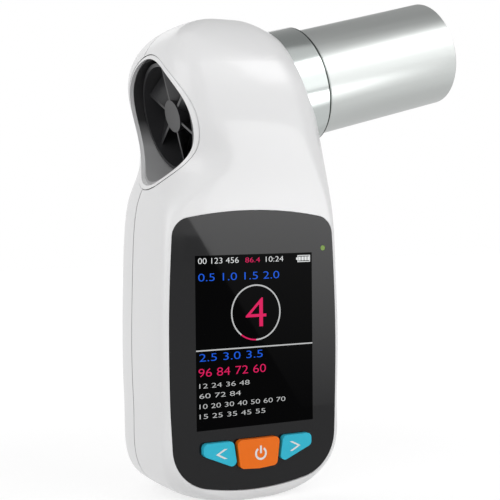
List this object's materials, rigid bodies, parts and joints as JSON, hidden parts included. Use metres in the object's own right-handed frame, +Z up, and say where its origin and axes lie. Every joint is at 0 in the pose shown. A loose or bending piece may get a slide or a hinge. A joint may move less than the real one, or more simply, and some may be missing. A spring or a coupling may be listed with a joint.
{
  "type": "handheld spirometer",
  "caption": "Handheld turbine spirometer: round head with a flow turbine and mouthpiece tube, upright handle with a screen and three buttons.",
  "frame": {"origin": "middle of the handle's depth and width, at the height of the screen's centre", "axes": "+Z up along the handle, +X towards the mouthpiece's side, screen facing -Y; the flow axis lies in the XZ plane and rises 14.2 degrees towards +X"},
  "size_m": [0.1053, 0.0424, 0.1481],
  "materials": {
    "housing_white": "satin moulded plastic",
    "trim_white": "satin moulded plastic",
    "liner_grey": "fine spark-eroded texture",
    "collar_silver": "plated, polished",
    "mouthpiece_silver": "silver-coated plastic tube",
    "turbine_black": "dark infrared-clear plastic",
    "vane_black": "matt",
    "steel": "fine brushed",
    "bearing_brass": "turned",
    "seal_rubber": "matt",
    "sensor_dark": "clear dark epoxy",
    "board_green": "solder resist",
    "panel_black": "polished window, printed black behind",
    "screen_black": "screen with lit picture",
    "frame_white": "moulded",
    "button_blue": "gloss",
    "button_orange": "gloss",
    "switch_black": "moulded",
    "module_metal": "tinned can",
    "lamp_clear": "clear green",
    "battery_foil": "foil pouch"
  },
  "bodies": {
    "housing": {"front_shell": "housing_white", "rear_shell": "housing_white", "turbine_bezel": "trim_white", "flow_liner": "liner_grey", "mouthpiece_collar": "collar_silver", "shell_screws": "steel", "charging_port": "steel", "seal_ring": "seal_rubber", "infrared_emitter": "sensor_dark", "infrared_receiver": "sensor_dark", "sensor_board": "board_green", "main_board": "board_green", "front_panel": "panel_black", "display_module": "screen_black", "display_frame": "frame_white", "switch_left": "switch_black", "switch_power": "switch_black", "switch_right": "switch_black", "buzzer": "switch_black", "wireless_module": "module_metal", "light_pipe": "lamp_clear", "status_lamp": "lamp_clear", "battery_pack": "battery_foil"},
    "mouthpiece": {"mouthpiece": "mouthpiece_silver"},
    "turbine": {"turbine_tube": "turbine_black", "front_swirler": "turbine_black", "rear_swirler": "turbine_black", "front_bearing": "bearing_brass", "rear_bearing": "bearing_brass"},
    "rotor": {"rotor_vane": "vane_black", "rotor_shaft": "steel"},
    "left_button": {"button_left": "button_blue", "plunger_left": "switch_black"},
    "power_button": {"button_power": "button_orange", "plunger_power": "switch_black"},
    "right_button": {"button_right": "button_blue", "plunger_right": "switch_black"}
  },
  "joints": [
    {"name": "left_button_press", "type": "slide", "parent": "housing", "child": "left_button", "axis": [0, 1, 0], "range_m": [0, 0.0005], "stiffness_N_per_m": 1500},
    {"name": "power_button_press", "type": "slide", "parent": "housing", "child": "power_button", "axis": [0, 1, 0], "range_m": [0, 0.0005], "stiffness_N_per_m": 1500},
    {"name": "right_button_press", "type": "slide", "parent": "housing", "child": "right_button", "axis": [0, 1, 0], "range_m": [0, 0.0005], "stiffness_N_per_m": 1500},
    {"name": "mouthpiece_pull", "type": "slide", "parent": "housing", "child": "mouthpiece", "axis": [0.9694, 0, 0.2453], "range_m": [0, 0.03]},
    {"name": "turbine_pull", "type": "slide", "parent": "housing", "child": "turbine", "axis": [-0.9694, 0, -0.2453], "range_m": [0, 0.045]},
    {"name": "rotor_spin", "type": "hinge", "parent": "turbine", "child": "rotor", "pos_m": [-0.00485, 0, 0.06717], "axis": [0.9694, 0, 0.2453], "continuous": true}
  ]
}
